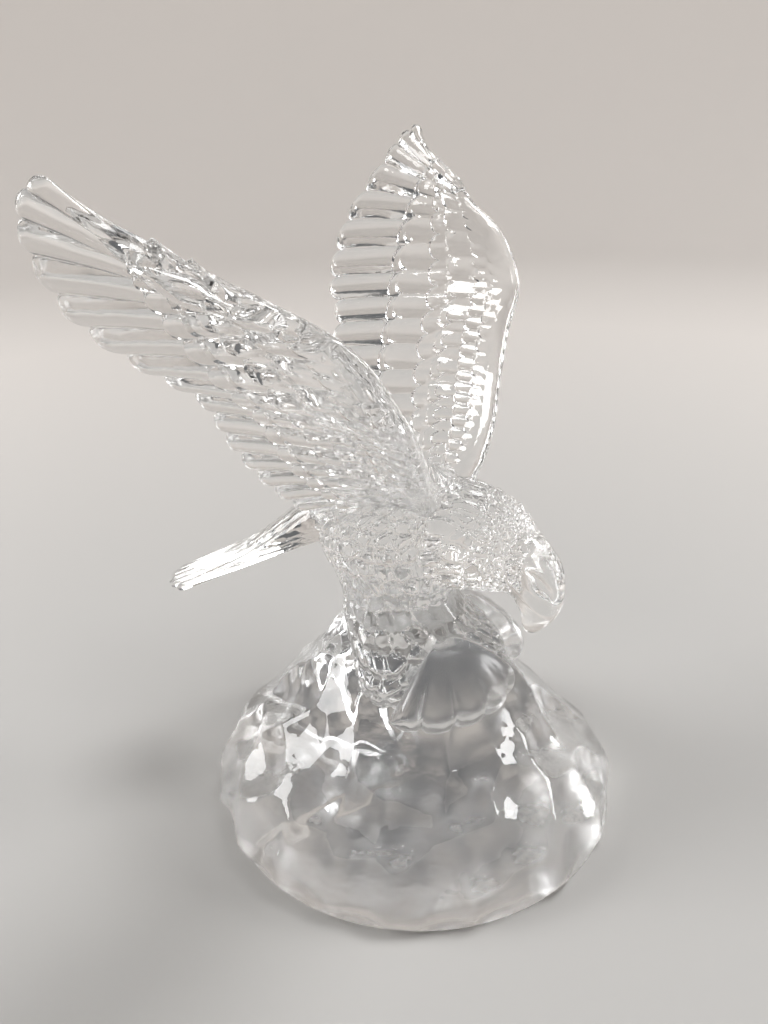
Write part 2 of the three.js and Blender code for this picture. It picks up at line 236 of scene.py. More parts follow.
def linked(name: str, data: bpy.types.ID) -> bpy.types.Object:
    """Make an object for a mesh, light or camera and link it to the scene."""
    made = bpy.data.objects.new(name, data)
    bpy.context.scene.collection.objects.link(made)
    return made


def mesh_object(name: str, points: Array, faces: list[list[int]]) -> bpy.types.Object:
    """Make a closed mesh with its faces pointing out.

    The volume, a sixth of the sum of p0 . (p1 x p2) over the triangles, is negative when the
    faces point in, and then every face is turned round.

    Args:
        name: name of the object and its mesh.
        points: vertices in millimetres.
        faces: corner numbers of each face.

    Returns:
        The new object.
    """
    first = np.array([face[:3] for face in faces])
    fans = np.array([[face[0], face[2], face[3]] for face in faces if len(face) == 4])
    corners = points[np.vstack([first, fans])] if len(fans) else points[first]
    volume = np.einsum("ij,ij->i", corners[:, 0], np.cross(corners[:, 1], corners[:, 2])).sum()
    if volume < 0:
        faces = [face[::-1] for face in faces]
    mesh = bpy.data.meshes.new(name)
    mesh.from_pydata((points * MM).tolist(), [], faces)
    mesh.update()
    return linked(name, mesh)


def sheet_object(name: str, upper: Array, lower: Array) -> bpy.types.Object:
    """Close two skins on one grid into a blade, with a wall along each of its four edges.

    Args:
        name: name of the object.
        upper: points of one skin as (column, row, X Y Z).
        lower: points of the other skin in the same layout.

    Returns:
        The new object.
    """
    columns, rows, _ = upper.shape
    points = np.concatenate([upper.reshape(-1, 3), lower.reshape(-1, 3)])
    top = np.arange(columns * rows).reshape(columns, rows)
    low = top + columns * rows
    skins = [
        np.stack([top[:-1, :-1], top[1:, :-1], top[1:, 1:], top[:-1, 1:]], -1),
        np.stack([low[:-1, :-1], low[:-1, 1:], low[1:, 1:], low[1:, :-1]], -1),
    ]
    edges = [(top[:, 0], low[:, 0]), (low[:, -1], top[:, -1]), (low[0], top[0]), (top[-1], low[-1])]
    walls = [np.stack([a[:-1], b[:-1], b[1:], a[1:]], -1) for a, b in edges]
    faces = np.concatenate([part.reshape(-1, 4) for part in skins + walls])
    return mesh_object(name, points, faces.tolist())


def loft_object(name: str, rings: Array, start: Array, end: Array) -> bpy.types.Object:
    """Close a stack of rings with a point at each end.

    Args:
        name: name of the object.
        rings: points as (ring, place round it, X Y Z).
        start: the closing point before the first ring.
        end: the closing point after the last ring.

    Returns:
        The new object.
    """
    count, sides, _ = rings.shape
    points = np.vstack([start, rings.reshape(-1, 3), end])
    at = 1 + np.arange(count * sides).reshape(count, sides)
    turned = np.roll(at, -1, axis=1)
    quads = np.stack([at[:-1], turned[:-1], turned[1:], at[1:]], -1).reshape(-1, 4)
    first = np.stack([np.zeros(sides, int), turned[0], at[0]], -1)
    last = np.stack([np.full(sides, len(points) - 1), at[-1], turned[-1]], -1)
    return mesh_object(name, points, quads.tolist() + first.tolist() + last.tolist())


def drop_slivers(mesh: bpy.types.Mesh) -> None:
    """Delete the slivers that a union leaves beside the main skin.

    Every vertex takes the lowest label among its neighbours' until none changes. Each island
    then has one label, and all islands but the largest are deleted.

    Args:
        mesh: the joined mesh, which is changed.
    """
    ends = np.empty(len(mesh.edges) * 2, int)
    mesh.edges.foreach_get("vertices", ends)
    ends = ends.reshape(-1, 2)
    label = np.arange(len(mesh.vertices))
    settled = False
    while not settled:
        lower = label.copy()
        np.minimum.at(lower, ends, label[ends].min(axis=1)[:, None])
        lower = lower[lower]
        settled = np.array_equal(lower, label)
        label = lower
    stray = np.flatnonzero(label != np.bincount(label).argmax())
    skin = bmesh.new()
    skin.from_mesh(mesh)
    skin.verts.ensure_lookup_table()
    bmesh.ops.delete(skin, geom=[skin.verts[number] for number in stray], context="VERTS")
    skin.to_mesh(mesh)
    skin.free()


def united(name: str, parts: list[bpy.types.Object]) -> bpy.types.Object:
    """Join overlapping closed parts into one closed skin.

    Args:
        name: name of the joined object.
        parts: the parts, which are used up.

    Returns:
        The joined object.
    """
    whole = parts[0]
    for part in parts[1:]:
        join = whole.modifiers.new("join", "BOOLEAN")
        join.operation = "UNION"
        join.solver = "MANIFOLD"
        join.object = part
    graph = bpy.context.evaluated_depsgraph_get()
    mesh = bpy.data.meshes.new_from_object(whole.evaluated_get(graph))
    mesh.name = name
    drop_slivers(mesh)
    for part in parts:
        bpy.data.objects.remove(part)
    return linked(name, mesh)


def feed(node: bpy.types.Node, inputs: Inputs) -> None:
    """Set a node's inputs, each by a plain value or by the output socket that drives it.

    Args:
        node: the node.
        inputs: values and sockets, under the inputs' names or numbers.
    """
    for name, value in inputs.items():
        if isinstance(value, bpy.types.NodeSocket):
            node.id_data.links.new(value, node.inputs[name])
        else:
            node.inputs[name].default_value = value


def add_node(
    tree: bpy.types.NodeTree, kind: str, output: str, inputs: Inputs, **options: str
) -> bpy.types.NodeSocket:
    """Add a shader node and hand on one of its outputs.

    Args:
        tree: the material's nodes.
        kind: the node's type, without its prefix.
        output: name of the output that is wanted.
        inputs: what feeds its inputs, as in feed.
        options: the node's own settings, by name.

    Returns:
        The output socket.
    """
    node = tree.nodes.new(f"ShaderNode{kind}")
    for name, option in options.items():
        setattr(node, name, option)
    feed(node, inputs)
    return node.outputs[output]


@dataclass
class Rock:
    """The dome of hammered facets that the bird lands on."""

    profile: Table = (
        (0, 52), (4, 53.5), (9, 52.2), (15, 47.6), (22, 41), (30, 33.4), (38, 27), (47, 21), (57, 12),
    )
    lean: float = 3.6
    columns: int = 186
    rows: int = 58
    facet: float = 15.0
    row_gap: float = 11.0
    wander: float = 0.7
    hollow: float = 0.028
    upright: float = 0.45
    shallowest: float = 1.2
    scatter_depth: float = 0.9
    ridge_softness: float = 0.06
    stands_out: float = 0.25
    measuring_steps: int = 200
    margin: float = 0.35
    fewest: int = 5
    crowding: float = 0.92
    upright_heights: Pair = (10.0, 40.0)
    plain_share: float = 0.05

    def surface(self, share: Array, turn: Array) -> Array:
        """Points of the smooth dome: the profile's radius turned about a line that leans to +Y."""
        z, radius = np.moveaxis(table_at(self.profile, share), -1, 0)
        lean = self.lean * np.sin(np.pi * z / self.profile[-1][0])
        return np.stack([radius * np.cos(turn), radius * np.sin(turn) + lean, z], -1)

    def facet_centres(self) -> Array:
        """Middles of the facets, in rows up the dome with as many as the girth has room for.

        Returns:
            Points on the dome, each scattered off its regular place.
        """
        shares = np.linspace(0, 1, self.measuring_steps)
        path = np.linalg.norm(np.diff(table_at(self.profile, shares), axis=0), axis=1).cumsum()
        rows = int(path[-1] / self.row_gap)
        centres = []
        for row in range(rows + 1):
            along = (row + self.margin) / (rows + 2 * self.margin)
            level = float(np.interp(along * path[-1], path, shares[1:]))
            girth = 2 * math.pi * float(table_at(self.profile, np.array(level))[1])
            count = max(round(girth / self.facet), self.fewest)
            number = np.arange(count)
            drift = self.wander * (scatter(number, np.full(count, row + 3.0)) - 0.5)
            climb = self.wander * (scatter(number + 50.0, np.full(count, row + 9.0)) - 0.5)
            turn = 2 * np.pi * (number + 0.5 * (row % 2) + drift) / count
            share = np.clip(level + climb * self.row_gap / path[-1], 0.01, 0.99)
            centres.append(self.surface(share, turn))
        return np.vstack(centres)

    def build(self) -> bpy.types.Object:
        """Press the facets into the dome.

        At d from its middle a facet lies hollow * d^2 - depth off the dome, and a soft minimum
        over all facets rounds the ridges between them.

        Returns:
            The rock, flat underneath.
        """
        share, turn = ring_grid(np.linspace(0, 1, self.rows) ** self.crowding, self.columns)
        smooth = self.surface(share, turn)
        centres = self.facet_centres()
        number = np.arange(len(centres)) + 0.0
        depths = self.shallowest + self.scatter_depth * scatter(number, np.full(len(centres), 5.0))
        offsets = smooth[:, :, None, :] - centres
        offsets[..., 2] *= 1 - self.upright * smoothstep(*self.upright_heights, centres[:, 2])
        hollows = self.hollow * (offsets**2).sum(axis=-1) - depths
        soft = self.ridge_softness
        lowest = hollows.min(axis=-1, keepdims=True)
        height = lowest[..., 0] - soft * np.log(np.exp((lowest - hollows) / soft).sum(axis=-1))
        height = np.minimum(height, self.stands_out) * smoothstep(0.0, self.plain_share, share)
        rings = raised(smooth, height)
        rings[0] = smooth[0]
        rings[..., 2] = np.maximum(rings[..., 2], 0.0)
        top = np.array([0.0, 0.0, self.profile[-1][0]])
        return loft_object("rock", rings, np.zeros(3), top)


@dataclass
class Trunk:
    """Trunk and legs, covered with small feathers that leave the chest smooth."""

    rings: Table = (
        (36, -2.5, 19.5, 15.5), (43, -3.2, 20, 15.5), (49, -1.8, 18.6, 14), (55, 1.8, 16.2, 13),
        (61, 3.9, 14.2, 13.4), (67, 5.2, 14.9, 14.4), (74, 6.8, 16.8, 15), (80, 6.2, 17.4, 14.6),
        (85.5, 3, 14.6, 12.4), (89.5, -1, 10.4, 9.6), (92, -4, 6, 6),
    )
    sides: int = 190
    levels: int = 100
    feathers_round: int = 23
    feather_rows: float = 15.0
    relief: float = 1.65
    crown: float = 2.5
    thigh: float = 12.0
    thigh_z: float = 46.0
    thigh_reach: float = 10.6
    thigh_back: float = 0.35
    thigh_wide: float = 0.6
    chest_turn: Pair = (0.35, 0.7)
    chest_share: Pair = (0.22, 0.34)
    chest_wear: float = 0.85
    level: float = 0.6
    feathers_from: Pair = (0.02, 0.1)

    def build(self) -> bpy.types.Object:
        """Stack oval rings and raise the feathers on them, about a level between dome and crease.

        Returns:
            The trunk, closed at both ends inside the rock and the neck.
        """
        share, turn = ring_grid(np.linspace(0, 1, self.levels), self.sides)
        z, y, depth, width = np.moveaxis(table_at(self.rings, share), -1, 0)
        behind = hump(np.sin(turn), self.thigh_back, self.thigh_wide)
        width = width + self.thigh * (hump(z, self.thigh_z, self.thigh_reach) * behind)
        smooth = np.stack([width * np.cos(turn), y + depth * np.sin(turn), z], -1)
        chest = smoothstep(*self.chest_turn, -np.sin(turn)) * smoothstep(*self.chest_share, share)
        feathers = feather_coat(share, turn, self.feather_rows, self.feathers_round)
        feathers = mix(feathers, self.level, self.chest_wear * chest)
        height = self.relief * (feathers - self.level) * smoothstep(*self.feathers_from, share)
        low = np.array([0.0, self.rings[0][1], self.rings[0][0]])
        high = np.array([0.0, self.rings[-1][1], self.rings[-1][0] + self.crown])
        return loft_object("trunk", raised(smooth, height), low, high)


@dataclass
class Head:
    """Neck, head and hooked beak between a crown line and a throat line."""

    rings: Table = (
        (2, 88.5, 2, 60, 10.5), (-8, 90.8, -6, 62.8, 11.6), (-16.6, 89.4, -12, 63.4, 11.4),
        (-21, 87.5, -16, 63.6, 10.8), (-24.6, 85.2, -19, 63.7, 9.9), (-27.7, 82, -21.8, 63.6, 8.8),
        (-30.6, 78.4, -23.4, 62.9, 7.6), (-33.6, 74.9, -24.6, 61.9, 6.6),
        (-35.9, 71.4, -25.4, 60.6, 5.8), (-37, 67.6, -26, 59.3, 5.2), (-37.2, 63.4, -26.6, 57.9, 4.7),
        (-36.8, 60, -27.1, 56, 4.2), (-35.5, 57, -27.3, 54.3, 3.7), (-33.5, 54.4, -27.6, 53, 2.9),
        (-31.4, 52.5, -28.6, 52.1, 1.7),
    )
    sides: int = 150
    levels: int = 120
    tip_drop: float = 0.7
    feathers_round: int = 24
    feather_rows: float = 24.0
    petals_round: int = 20
    petal_rows: float = 14.4
    relief: float = 1.5
    level: float = 0.6
    petals_until: Pair = (0.2, 0.26)
    socket: Form = (-18.7, 81.6, 2.8, 0.8, 1.0)
    brow: Form = (-24, 84, 6, 1.8, 0.9)
    lores: Form = (-26, 79, 5, 2.4, -1.0)
    gape_y: float = -28.0
    gape_z: float = 75.5
    gape_slope: float = 0.1
    gape_depth: float = 0.55
    gape_half: float = 0.6
    gape_front: Pair = (-34.5, -31.5)
    gape_back: Pair = (-24.5, -21.5)
    lip: Triple = (0.5, 1.5, 1.0)
    panel_middle: Pair = (-30.6, 66.8)
    panel_lean: float = 0.62
    panel_long: float = 8.2
    panel_short: float = 3.5
    panel_depth: float = 1.25
    panel_rim: float = 0.3
    panel_floor: float = 0.55
    rim_at: Pair = (1.12, 0.13)
    crown_y: Pair = (-33.5, -29.5)
    crown_z: Pair = (79.5, 82.0)
    crown_from: float = -27.0
    crown_slope: float = 0.25
    cheek_y: Pair = (-25.5, -20.5)
    stripe: Triple = (80.2, 2.2, 0.75)
    stripe_y: Pair = (-18.0, -20.0)

    def side_relief(self, y: Array, z: Array) -> Array:
        """Broad forms on each side of the head: brow, lores, eye socket, gape with its lip, panel.

        Each is a bell in the side view, the socket is a bell about a ring round the eye, and
        the beak's panel is an oval hollow with a raised rim.

        Args:
            y: places along the head.
            z: heights.

        Returns:
            How far the side stands out from the plain head.
        """
        height = np.zeros_like(y)
        for middle_y, middle_z, reach_y, reach_z, rise in (self.brow, self.lores):
            height += rise * hump(y, middle_y, reach_y) * hump(z, middle_z, reach_z)
        eye_y, eye_z, ring, reach, depth = self.socket
        height -= depth * hump(np.hypot(y - eye_y, z - eye_z), ring, reach)
        mouth = smoothstep(*self.gape_front, y) * (1 - smoothstep(*self.gape_back, y))
        above = z - (self.gape_z + self.gape_slope * (y - self.gape_y))
        height -= self.gape_depth * mouth * hump(above, 0, self.gape_half)
        rise, lip_z, lip_reach = self.lip
        height += rise * mouth * hump(above, lip_z, lip_reach)
        dy, dz = y - self.panel_middle[0], z - self.panel_middle[1]
        along = dz * math.cos(self.panel_lean) + dy * math.sin(self.panel_lean)
        across = dy * math.cos(self.panel_lean) - dz * math.sin(self.panel_lean)
        oval = np.hypot(along / self.panel_long, across / self.panel_short)
        height -= self.panel_depth * (1 - smoothstep(self.panel_floor, 1.0, oval))
        return height + self.panel_rim * hump(oval, *self.rim_at)

    def feather_mask(self, y: Array, z: Array) -> Array:
        """Where feathers cover the head: the crown, and the cheeks but for a stripe by the eye."""
        crown = smoothstep(*self.crown_z, z - self.crown_slope * (y - self.crown_from))
        stripe_z, stripe_reach, wear = self.stripe
        stripe = wear * hump(z, stripe_z, stripe_reach) * smoothstep(*self.stripe_y, y)
        cheek = smoothstep(*self.cheek_y, y) * (1 - stripe)
        return np.maximum(smoothstep(*self.crown_y, y) * crown, cheek)

    def build(self) -> bpy.types.Object:
        """Stretch oval rings between the crown and throat lines and raise the feathers on them.

        Long petals hang on the neck, and small feathers cover the rest.

        Returns:
            The head, closed inside the neck and at the tip of the beak.
        """
        share, turn = ring_grid(np.linspace(0, 1, self.levels), self.sides)
        top_y, top_z, low_y, low_z, width = np.moveaxis(table_at(self.rings, share), -1, 0)
        along = (1 + np.cos(turn)) / 2
        y, z = mix(low_y, top_y, along), mix(low_z, top_z, along)
        smooth = np.stack([(width + self.side_relief(y, z)) * np.sin(turn), y, z], -1)
        petals = feather_coat(share, turn, self.petal_rows, self.petals_round)
        small = feather_coat(share, turn, self.feather_rows, self.feathers_round)
        feathers = mix(petals, small, smoothstep(*self.petals_until, share))
        height = self.relief * (feathers - self.level) * self.feather_mask(y, z)
        (y0, z0, y1, z1, _), (y2, z2, y3, z3, _) = self.rings[0], self.rings[-1]
        start = np.array([0.0, (y0 + y1) / 2, (z0 + z1) / 2])
        end = np.array([0.0, (y2 + y3) / 2, (z2 + z3) / 2 - self.tip_drop])
        return loft_object("head", raised(smooth, height), start, end)


@dataclass
class Eye:
    """A round eye that stands out of its socket."""

    place: Place = (9.2, -18.7, 81.6)
    radius: float = 2.1
    sides: int = 20
    levels: int = 11

    def build(self, side: Side) -> bpy.types.Object:
        """Turn a half circle about the X axis through the eye.

        Args:
            side: which eye.

        Returns:
            The eyeball.
        """
        tilt, turn = ring_grid(np.linspace(0, np.pi, self.levels + 2)[1:-1], self.sides)
        ball = np.stack([np.cos(tilt), np.sin(tilt) * np.cos(turn), np.sin(tilt) * np.sin(turn)], -1)
        middle = side.place(self.place)
        first, last = np.array([[1.0, 0.0, 0.0], [-1.0, 0.0, 0.0]]) * self.radius + middle
        return loft_object(f"eye_{side.name}", ball * self.radius + middle, first, last)


@dataclass(frozen=True)
class FeatherRow:
    """One row of overlapping feathers on a wing.

    Its ends at the body and at the wing tip, and its roundness, are shares of the feather
    length. Lift and crease are in millimetres, per_quill counts its feathers for each flight
    feather, and steps are rows of the grid, of which both faces have the same number in all.
    """

    inner_end: float
    outer_end: float
    per_quill: float
    lift: float
    crease: float
    roundness: float
    steps: int


class Face(Enum):
    """The two faces of a wing, as the sign of the way from the wing to the bird's middle."""

    INNER = 1
    OUTER = -1


@dataclass
class Wing:
    """A raised wing: a thick arm, rows of coverts on both faces and sixteen flight feathers."""

    arm: Table = (
        (5, -9, 84), (15, -12.5, 91), (26, -14, 98), (37, -14, 104.5), (49, -14.6, 114.8),
        (61, -15.2, 125), (67.2, -9, 137.8), (73.2, 0.6, 145), (80, 5, 148.2),
    )
    tips: Table = (
        (7, 22, 80), (16, 25.3, 88.5), (24, 29.2, 98.1), (33, 31, 109.4), (39.9, 31.8, 119.6),
        (44.5, 34.6, 124.6), (51.4, 36.6, 129.5), (60.4, 37.5, 135.7), (70, 36.6, 142.5),
        (79, 33.6, 149.4), (86.8, 30, 156), (91, 27, 160.8), (93.1, 23.6, 164), (92.7, 20.4, 165.1),
    )
    inner_feathers: int = 7
    primaries: int = 9
    cells: int = 12
    rim_rows: int = 9
    flight_rows: int = 12
    tip_rows: int = 7
    arm_bias: float = 1.25
    shoulder_twist: float = 2.6
    shoulder_end: float = 0.45
    camber: float = 4.5
    camber_way: Place = (-0.61, -0.1, 0.79)
    sweep: Pair = (1.5, 5.0)
    sweep_way: Place = (0.0, 1.0, 0.3)
    thickness: Pair = (7.2, 4.2)
    tip_thickness: float = 2.6
    rim_width: float = 0.13
    crease: float = 1.15
    blade_fall: Pair = (2.2, 2.5)
    shaft: float = 0.12
    tilt: float = 0.2
    scallop: float = 0.055
    least_half: float = 0.35
    edge_half: float = 0.12
    tip_round: float = 0.035
    slope_step: float = 0.01
    inner_rows: tuple[FeatherRow, ...] = (
        FeatherRow(0.09, 0.05, 2, 0.4, 0.4, 0.015, 4),
        FeatherRow(0.16, 0.09, 2, 0.6, 0.55, 0.022, 5),
        FeatherRow(0.24, 0.14, 2, 0.7, 0.6, 0.028, 5),
        FeatherRow(0.38, 0.22, 1, 0.85, 0.75, 0.035, 8),
        FeatherRow(0.66, 0.38, 1, 0.9, 0.85, 0.045, 10),
    )
    outer_rows: tuple[FeatherRow, ...] = (
        FeatherRow(0.155, 0.13, 1, 0.0, 0.0, 0.0, 4),
        FeatherRow(0.245, 0.18, 2, 0.75, 0.7, 0.035, 5),
        FeatherRow(0.355, 0.23, 2, 0.85, 0.8, 0.04, 6),
        FeatherRow(0.48, 0.30, 1, 1.0, 0.95, 0.055, 8),
        FeatherRow(0.70, 0.44, 1, 1.0, 1.0, 0.06, 9),
    )
    smooth_hand: Pair = (0.42, 0.58)
    inner_wear: float = 0.5
    outer_wear: float = 1.0
    row_span: Pair = (0.04, 0.985)
    rows_shorten: Pair = (0.4, 1.0)
    covert_rise: float = 1.4
    covert_fall: float = 3.0
    root_crease: float = 0.4
    bare: Pair = (0.065, 0.1)
    bare_widens: Pair = (0.4, 0.6)
    bare_fade: float = 0.1
    blade_span: Pair = (0.02, 0.88)
    fall_grows: Pair = (0.35, 0.6)
    shaft_reach: float = 0.14
    outer_round: float = 0.45

    @property
    def quills(self) -> int:
        """Number of flight feathers."""
        return self.inner_feathers + self.primaries

    def tip_share(self, number: Array) -> Array:
        """Share of the tip curve at a feather number, with one curve point for each primary."""
        first = self.inner_feathers + 0.5
        inner_points = len(self.tips) - self.primaries - 1
        inner = number * inner_points / first
        outer = inner_points + (number - first) * self.primaries / (self.primaries - 0.5)
        return np.minimum(np.where(number < first, inner, outer) / (len(self.tips) - 1), 1.0)

    def surface(self, side: Side, u: Array, s: Array) -> Array:
        """Middle surface: feathers are parabolas from the arm at s = 0 to their tips at s = 1.

        Each goes by way of the point half-way, raised by the camber and swept back.

        Args:
            side: which wing.
            u: share of the span, from the body to the wing tip.
            s: share of the feather.

        Returns:
            Points with a last axis for X, Y and Z.
        """
        base = curve_at(side.place(self.arm), 1 - (1 - u) ** self.arm_bias)
        twist = side.value * self.shoulder_twist * (1 - smoothstep(0, self.shoulder_end, u))
        base = base - twist[..., None] * np.array([0.0, 1.0, 0.0])
        tip = curve_at(side.place(self.tips), self.tip_share(u * self.quills))
        lift = side.place(self.camber_way) * (self.camber * (1 - u))[..., None]
        sweep = np.array(self.sweep_way) * mix(*self.sweep, u * u)[..., None]
        return parabola(base, (base + tip) / 2 + lift + sweep, tip, s[..., None])

    def normals(self, side: Side, u: Array, s: Array) -> Array:
        """Normals of the middle surface, from its slopes over a small step each way."""
        u0, u1 = (np.clip(u + step, 0, 1) for step in (-self.slope_step, self.slope_step))
        s0, s1 = (np.clip(s + step, 0, 1) for step in (-self.slope_step, self.slope_step))
        across = self.surface(side, u1, s) - self.surface(side, u0, s)
        along = self.surface(side, u, s1) - self.surface(side, u, s0)
        return unit(np.cross(across, along))

    def feather_grid(self, u: Array, face: Face) -> tuple[Array, Array]:
        """Lay the grid's rows so that they follow the rounded ends of every row of feathers.

        From the end of one row to the next the shares run in even steps that stop just short
        of both, so that a feather's end is a steep little wall. A covert rises as a power of t
        to its end and falls off as a power of |x| to its sides. A flight feather falls off in
        the same way, has a fine shaft, and leans over its neighbour.

        Args:
            u: share of the span, one for each column.
            face: which face of the wing.

        Returns:
            Shares of the feather and heights in millimetres, both as (column, row).
        """
        rows = self.inner_rows if face is Face.INNER else self.outer_rows
        wear = self.inner_wear if face is Face.INNER else self.outer_wear
        hand = wear * smoothstep(*self.smooth_hand, u)
        rim_end = rows[0].inner_end / 2
        rim = rim_end * (1 - np.cos(np.linspace(0, np.pi / 2, self.rim_rows)))
        shares = [np.broadcast_to(rim, (len(u), self.rim_rows))]
        heights = [np.zeros_like(shares[0])]
        start = np.full_like(u, rim_end)
        for number, row in enumerate(rows):
            x = 2 * np.mod(u * self.quills * row.per_quill + 0.5 * (number % 2), 1) - 1
            end = mix(row.inner_end, row.outer_end, smoothstep(*self.rows_shorten, u))
            end = end - row.roundness * arc(x)
            t = np.linspace(*self.row_span, row.steps)[None, :]
            shares.append(mix(start[:, None], end[:, None], t))
            worn = (1 - hand * (row.per_quill > 1))[:, None]
            crease = row.crease * (np.abs(x) ** self.covert_fall)[:, None] * mix(self.root_crease, 1.0, t)
            low = mix(*self.bare, smoothstep(*self.bare_widens, u))[:, None]
            fade = smoothstep(low, low + self.bare_fade, shares[-1])
            heights.append(worn * (row.lift * t**self.covert_rise - crease) * fade)
            start = end
        x = 2 * np.mod(u * self.quills, 1) - 1
        end = 1 - self.scallop * arc(x)
        blade = np.linspace(*self.blade_span, self.flight_rows, endpoint=False)
        tip = mix(self.blade_span[1], 1.0, np.sin(np.linspace(0, np.pi / 2, self.tip_rows)))
        t = np.concatenate([blade, tip])[None, :]
        fall = mix(*self.blade_fall, smoothstep(*self.fall_grows, u))
        ridge = self.shaft * hump(x, 0, self.shaft_reach) + self.tilt * x
        ridge = ridge - self.crease * np.abs(x) ** fall
        shares.append(mix(start[:, None], end[:, None], t))
        heights.append(np.broadcast_to(ridge[:, None], shares[-1].shape))
        return np.concatenate(shares, axis=1), np.concatenate(heights, axis=1)

    def skin(self, side: Side, face: Face) -> Array:
        """One face of the wing: half the blade's thickness and the feathers, off the middle.

        The thickness falls as the root of s, and is rounded as a quarter circle at the arm, at
        the outer edge and at the feather tips.

        Args:
            side: which wing.
            face: which face.

        Returns:
            Points as (column, row, X Y Z).
        """
        columns = self.quills * self.cells
        line = np.linspace(0, 1, columns + 1)
        s, height = self.feather_grid(line, face)
        u = np.broadcast_to(line[:, None], s.shape)
        body = mix(mix(*self.thickness, u) / 2, self.tip_thickness / 2, np.sqrt(s))
        shoulder = quarter(s / self.rim_width)
        outer = quarter((1 - u) * self.quills / self.outer_round)
        tip = quarter((s[:, -1:] - s) / self.tip_round)
        half = np.maximum(body + height, self.least_half) * shoulder * outer * tip
        half = np.maximum(half, self.edge_half)
        outward = self.normals(side, u, s) * (side.value * face.value)
        return self.surface(side, u, s) + outward * half[..., None]

    def build(self, side: Side) -> bpy.types.Object:
        """Close the wing's two faces into a blade."""
        return sheet_object(f"wing_{side.name}", self.skin(side, Face.INNER), self.skin(side, Face.OUTER))


@dataclass
class Tail:
    """A narrow fan of seven long feathers, roofed along its middle, with a swelling rump."""

    feathers: int = 7
    cells: int = 8
    levels: int = 36
    root_y: float = 15.0
    root_z: float = 82.0
    length: float = 53.9
    drop: float = 27.5
    half_width: Pair = (8.5, 9.5)
    thickness: Pair = (8.0, 2.4)
    edge_share: float = 0.45
    rump: float = 5.5
    roof: float = 2.0
    crease: float = 0.75
    shaft: float = 0.18
    rounding: float = 0.16
    scallop: float = 0.035
    least_half: float = 0.35
    edge_half: float = 0.12
    crowding: float = 1.1
    shaft_reach: float = 0.16
    fall: float = 2.6
    ridges_from: Pair = (0.1, 0.4)
    rump_until: Pair = (0.1, 0.6)
    tip_round: float = 0.03

    def build(self) -> bpy.types.Object:
        """Spread the feathers over a blade that falls away from the rump.

        A feather is highest at its shaft and falls off to its sides as a power of |x|.

        Returns:
            The tail.
        """
        columns = self.feathers * self.cells
        share = np.sin(np.linspace(0, np.pi / 2, self.levels)) ** self.crowding
        across, share = np.meshgrid(np.linspace(-1, 1, columns + 1), share, indexing="ij")
        x = 2 * np.mod((across + 1) / 2 * self.feathers, 1) - 1
        s = share * (1 - self.rounding * across**2 - self.scallop * arc(x))
        x_place = across * mix(*self.half_width, s)
        y = self.root_y + self.length * s
        z = self.root_z - self.drop * s - self.roof * across**2
        edge = np.sqrt(np.maximum(1 - across**2, 0.0))
        thick = mix(*self.thickness, np.sqrt(s)) / 2
        ridge = self.shaft * hump(x, 0, self.shaft_reach) - self.crease * np.abs(x) ** self.fall
        full = thick * mix(self.edge_share, 1.0, edge) + ridge * smoothstep(*self.ridges_from, s)
        half = np.maximum(full, self.least_half) * quarter((1 - share) / self.tip_round)
        half = np.maximum(half, self.edge_half)
        rump = self.rump * edge * (1 - smoothstep(*self.rump_until, s))
        upper = np.stack([x_place, y, z + half + rump], -1)
        lower = np.stack([x_place, y, z - half], -1)
        return sheet_object("tail", upper, lower)


@dataclass
class Thumb:
    """The thumb feather: a tapering finger of glass that lies along the hand from the wrist."""

    start: Place = (78.0, 5.6, 146.8)
    end: Place = (85.6, 14.6, 153.3)
    radii: Triple = (1.8, 3.2, 1.3)
    flatness: float = 0.7
    bluntness: float = 0.6
    taper: float = 0.55
    taper_from: float = 0.8
    sides: int = 16
    steps: int = 14

    def build(self, side: Side) -> bpy.types.Object:
        """Carry an oval along the line, through the three radii, and round its end off.

        Args:
            side: which wing.

        Returns:
            The thumb feather.
        """
        start, end = side.place(self.start), side.place(self.end)
        along = unit(end - start)
        across = unit(np.cross(along, np.array([0.0, 0.0, 1.0])))
        rise = np.cross(across, along) * self.flatness
        t, turn = ring_grid(np.linspace(0, 1, self.steps), self.sides)
        radius = np.interp(t, (0, 0.5, 1), self.radii)
        radius = radius * np.sqrt(1 - self.taper * smoothstep(self.taper_from, 1.0, t) ** 2)
        aside, above = radius * np.cos(turn), radius * np.sin(turn)
        rings = mix(start, end, t[..., None]) + aside[..., None] * across + above[..., None] * rise
        tip = end + along * self.radii[2] * self.bluntness
        return loft_object(f"thumb_{side.name}", rings, start, tip)


